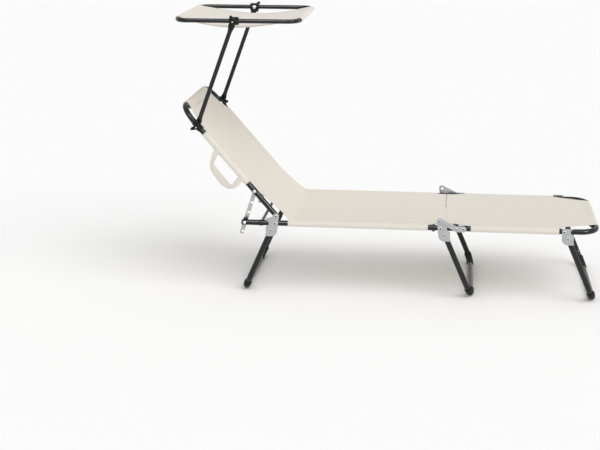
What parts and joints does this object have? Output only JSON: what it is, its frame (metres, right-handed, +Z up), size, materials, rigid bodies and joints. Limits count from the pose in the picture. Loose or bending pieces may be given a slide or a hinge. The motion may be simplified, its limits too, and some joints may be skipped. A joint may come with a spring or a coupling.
{
  "type": "sun lounger with canopy",
  "caption": "Folding sun lounger: cream cloth on a dark tube frame, reclining back with ratchet bars, folding foot section and legs, and a tilting canopy on two clamped arms.",
  "frame": {"origin": "on the floor, under the middle of the lounger's bounding box", "axes": "+X along the lounger towards the foot end, +Y across it to the far side, +Z up"},
  "size_m": [1.6934, 0.627, 1.1283],
  "materials": {
    "black_paint": "smooth satin paint",
    "black_plastic": "moulded, matt",
    "rubber": "matt",
    "galvanised": "galvanised sheet",
    "zinc": "dull zinc",
    "bright_steel": "bright plated",
    "cream_cloth": "plain weave",
    "canopy_cloth": "plain weave",
    "webbing": "woven band"
  },
  "bodies": {
    "seat": {"seat_tube_far": "black_paint", "seat_tube_near": "black_paint", "rear_crossbar": "zinc", "front_crossbar": "black_paint", "rear_collar_far": "black_paint", "rear_collar_near": "black_paint", "rear_plate_far": "galvanised", "rear_plate_near": "galvanised", "front_plate_far": "galvanised", "front_plate_near": "galvanised", "ratchet_pin_far": "bright_steel", "ratchet_pin_near": "bright_steel", "ratchet_guide_far": "black_plastic", "ratchet_guide_near": "black_plastic", "seat_sling": "cream_cloth"},
    "backrest": {"back_frame": "black_paint", "back_sling": "cream_cloth", "clamp_block_far": "black_plastic", "clamp_block_near": "black_plastic", "clamp_bolt_far": "bright_steel", "clamp_bolt_near": "bright_steel", "bar_rivet_far": "bright_steel", "bar_rivet_near": "bright_steel", "carry_handle": "webbing"},
    "clamp_knob_far": {"clamp_knob_far": "black_plastic"},
    "clamp_knob_near": {"clamp_knob_near": "black_plastic"},
    "ratchet_bar_far": {"ratchet_bar_far": "zinc"},
    "ratchet_bar_near": {"ratchet_bar_near": "zinc"},
    "canopy_arms": {"canopy_arm_far": "black_paint", "canopy_arm_near": "black_paint"},
    "canopy": {"canopy_frame": "black_paint", "canopy_sling": "canopy_cloth", "hinge_block_far": "black_plastic", "hinge_block_near": "black_plastic", "hinge_bolt_far": "bright_steel", "hinge_bolt_near": "bright_steel"},
    "hinge_knob_far": {"hinge_knob_far": "black_plastic"},
    "hinge_knob_near": {"hinge_knob_near": "black_plastic"},
    "foot_section": {"foot_frame": "black_paint", "foot_sling": "cream_cloth", "foot_ear_far": "galvanised", "foot_ear_near": "galvanised", "leg_bracket_far": "galvanised", "leg_bracket_near": "galvanised"},
    "rear_leg": {"rear_leg": "black_paint", "rear_leg_cap_far": "rubber", "rear_leg_cap_near": "rubber"},
    "middle_leg": {"middle_leg": "black_paint", "middle_leg_cap_far": "rubber", "middle_leg_cap_near": "rubber"},
    "end_leg": {"end_leg": "black_paint", "end_leg_cap_far": "rubber", "end_leg_cap_near": "rubber"}
  },
  "joints": [
    {"name": "recline", "type": "hinge", "parent": "seat", "child": "backrest", "pos_m": [-0.44218, 0, 0.32329], "axis": [0, 1, 0], "range_deg": [-48.9, 76]},
    {"name": "ratchet_swing_far", "type": "hinge", "parent": "backrest", "child": "ratchet_bar_far", "pos_m": [-0.52914, 0, 0.42321], "axis": [0, 1, 0], "range_deg": [-38, 24.5]},
    {"name": "ratchet_swing_near", "type": "hinge", "parent": "backrest", "child": "ratchet_bar_near", "pos_m": [-0.52914, 0, 0.42321], "axis": [0, 1, 0], "range_deg": [-38, 24.5]},
    {"name": "arm_swing", "type": "hinge", "parent": "backrest", "child": "canopy_arms", "pos_m": [-0.75663, 0, 0.68463], "axis": [0, -1, 0], "range_deg": [-38, 74]},
    {"name": "canopy_tilt", "type": "hinge", "parent": "canopy_arms", "child": "canopy", "pos_m": [-0.60516, 0, 1.10305], "axis": [0, 1, 0], "continuous": true},
    {"name": "clamp_knob_turn_far", "type": "hinge", "parent": "backrest", "child": "clamp_knob_far", "pos_m": [-0.75663, 0, 0.68463], "axis": [0, 1, 0], "continuous": true},
    {"name": "clamp_knob_turn_near", "type": "hinge", "parent": "backrest", "child": "clamp_knob_near", "pos_m": [-0.75663, 0, 0.68463], "axis": [0, 1, 0], "continuous": true},
    {"name": "hinge_knob_turn_far", "type": "hinge", "parent": "canopy", "child": "hinge_knob_far", "pos_m": [-0.60516, 0, 1.10305], "axis": [0, 1, 0], "continuous": true},
    {"name": "hinge_knob_turn_near", "type": "hinge", "parent": "canopy", "child": "hinge_knob_near", "pos_m": [-0.60516, 0, 1.10305], "axis": [0, 1, 0], "continuous": true},
    {"name": "foot_fold", "type": "hinge", "parent": "seat", "child": "foot_section", "pos_m": [0.21502, 0, 0.32329], "axis": [0, 1, 0], "range_deg": [-180, 0]},
    {"name": "rear_leg_fold", "type": "hinge", "parent": "seat", "child": "rear_leg", "pos_m": [-0.46248, 0, 0.26499], "axis": [0, -1, 0], "range_deg": [0, 108]},
    {"name": "middle_leg_fold", "type": "hinge", "parent": "seat", "child": "middle_leg", "pos_m": [0.23531, 0, 0.26499], "axis": [0, 1, 0], "range_deg": [0, 108]},
    {"name": "end_leg_fold", "type": "hinge", "parent": "foot_section", "child": "end_leg", "pos_m": [0.72032, 0, 0.26499], "axis": [0, 1, 0], "range_deg": [0, 108]}
  ],
  "couplings": [
    {"joint": "ratchet_swing_far", "follows": "recline", "ratio": -0.5},
    {"joint": "ratchet_swing_near", "follows": "recline", "ratio": -0.5}
  ]
}
